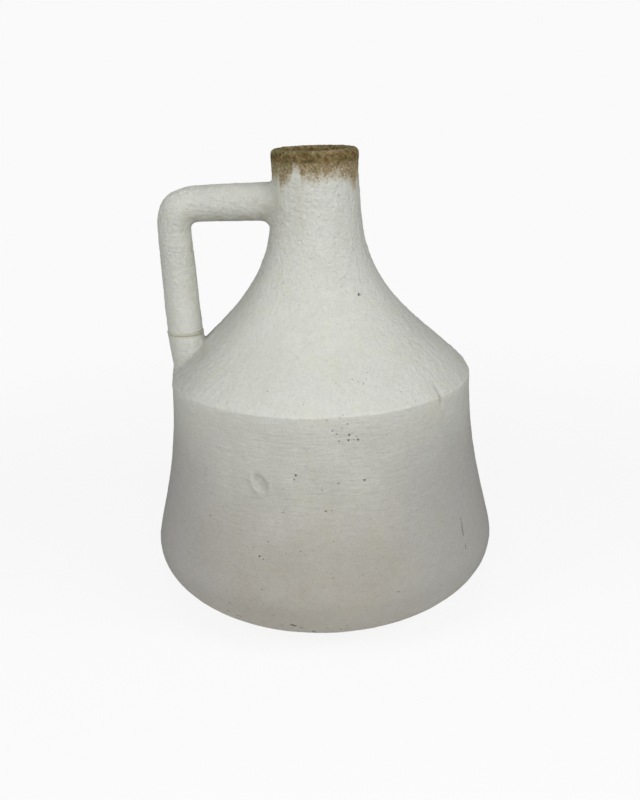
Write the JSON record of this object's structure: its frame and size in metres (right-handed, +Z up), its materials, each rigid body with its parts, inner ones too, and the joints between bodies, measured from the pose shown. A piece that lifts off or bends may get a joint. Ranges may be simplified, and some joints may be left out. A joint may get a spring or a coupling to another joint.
{
  "type": "water jug",
  "caption": "Large round-bellied earthenware water jug with a sharp edge under a concave shoulder, a narrow neck and one tubular loop handle.",
  "frame": {"origin": "on the jug's axis, in the plane of the flat foot it stands on", "axes": "+Z up along the jug's axis through the mouth; the handle is on the -X side, in the XZ plane"},
  "size_m": [0.373, 0.3728, 0.48],
  "materials": {
    "whitewash_shoulder": "matte chalky whitewash",
    "whitewash_body": "matte chalky whitewash, thinner and greyer",
    "bare_clay": "unglazed, rough",
    "stained_clay": "unglazed, crusted and stained",
    "seam_slip": "matte dried slip"
  },
  "bodies": {
    "root": {"floor": "bare_clay", "lower_wall": "whitewash_body", "floor_seam_coil": "bare_clay", "shoulder": "whitewash_shoulder", "shoulder_seam_coil": "bare_clay", "neck": "whitewash_shoulder", "rim_lip": "stained_clay", "handle_tube": "whitewash_shoulder", "handle_root_fillet": "whitewash_shoulder", "handle_seam_collar": "seam_slip", "handle_stub": "whitewash_shoulder", "stub_foot_fillet": "whitewash_shoulder"}
  },
  "joints": []
}
